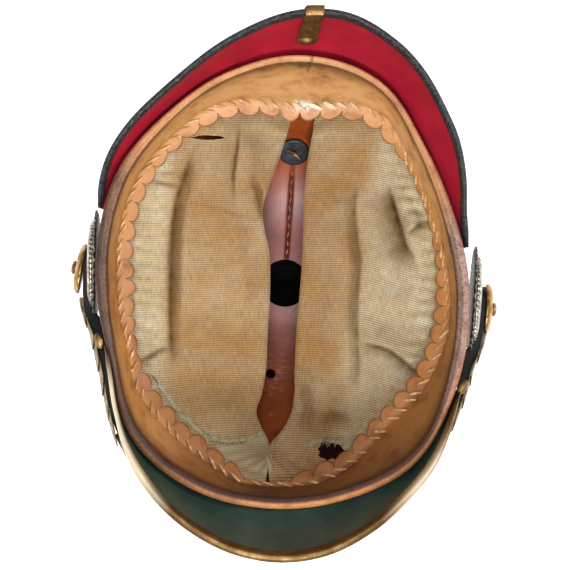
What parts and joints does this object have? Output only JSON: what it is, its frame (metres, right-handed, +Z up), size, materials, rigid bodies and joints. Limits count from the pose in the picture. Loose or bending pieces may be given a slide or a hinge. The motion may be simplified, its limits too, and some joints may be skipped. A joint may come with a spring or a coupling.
{
  "type": "leather military helmet",
  "caption": "Lacquered leather military helmet lying on its crown base, with front and rear peaks, scalloped sweatband, split cloth lining, ear cockades and a scaled chin strap.",
  "frame": {"origin": "centre of the crown base's flat face, which the helmet lies on", "axes": "+Z up, out of the open hollow; -Y towards the front peak; +X towards the wearer's right ear, the right of the picture"},
  "size_m": [0.2125, 0.2663, 0.1753],
  "materials": {
    "lacquered_leather": "black lacquer outside, bare red-brown leather inside",
    "sweatband_leather": "worn tan, darker with sweat at the front",
    "lace_leather": "worn pale tan",
    "lining_cloth": "ribbed rep cloth, stained",
    "green_leather": "satin dark green lacquer",
    "red_leather": "matt red lacquer",
    "black_binding": "black, scuffed grey",
    "strap_leather": "black, worn",
    "brass": "polished, lightly tarnished",
    "aged_brass": "dark tarnish",
    "blackened_iron": "black paint, worn",
    "cockade_metal": "dulled paint over metal",
    "silvered_metal": "dull silvering"
  },
  "bodies": {
    "root": {"shell": "lacquered_leather", "sweatband": "sweatband_leather", "lace": "lace_leather", "liner_left": "lining_cloth", "liner_right": "lining_cloth", "front_peak": "green_leather", "front_peak_trim": "brass", "trim_rivet_left": "brass", "trim_rivet_right": "brass", "rear_peak": "red_leather", "rear_peak_binding": "black_binding", "rear_spine": "aged_brass", "spine_washer": "blackened_iron", "spine_split_pin": "aged_brass", "crown_base": "brass", "cockade_disc_left": "cockade_metal", "cockade_disc_right": "cockade_metal", "cockade_ring_left": "silvered_metal", "cockade_ring_right": "silvered_metal", "rosette_left": "brass", "rosette_right": "brass", "chin_strap": "strap_leather", "chin_scale_left_01": "aged_brass", "chin_scale_left_02": "aged_brass", "chin_scale_left_03": "aged_brass", "chin_scale_left_04": "aged_brass", "chin_scale_left_05": "aged_brass", "chin_scale_left_06": "aged_brass", "chin_scale_left_07": "aged_brass", "chin_scale_left_08": "aged_brass", "chin_scale_left_09": "aged_brass", "chin_scale_left_10": "aged_brass", "chin_scale_left_11": "aged_brass", "chin_scale_left_12": "aged_brass", "chin_scale_right_01": "aged_brass", "chin_scale_right_02": "aged_brass", "chin_scale_right_03": "aged_brass", "chin_scale_right_04": "aged_brass", "chin_scale_right_05": "aged_brass", "chin_scale_right_06": "aged_brass", "chin_scale_right_07": "aged_brass", "chin_scale_right_08": "aged_brass", "chin_scale_right_09": "aged_brass", "chin_scale_right_10": "aged_brass", "chin_scale_right_11": "aged_brass", "chin_scale_right_12": "aged_brass"}
  },
  "joints": []
}
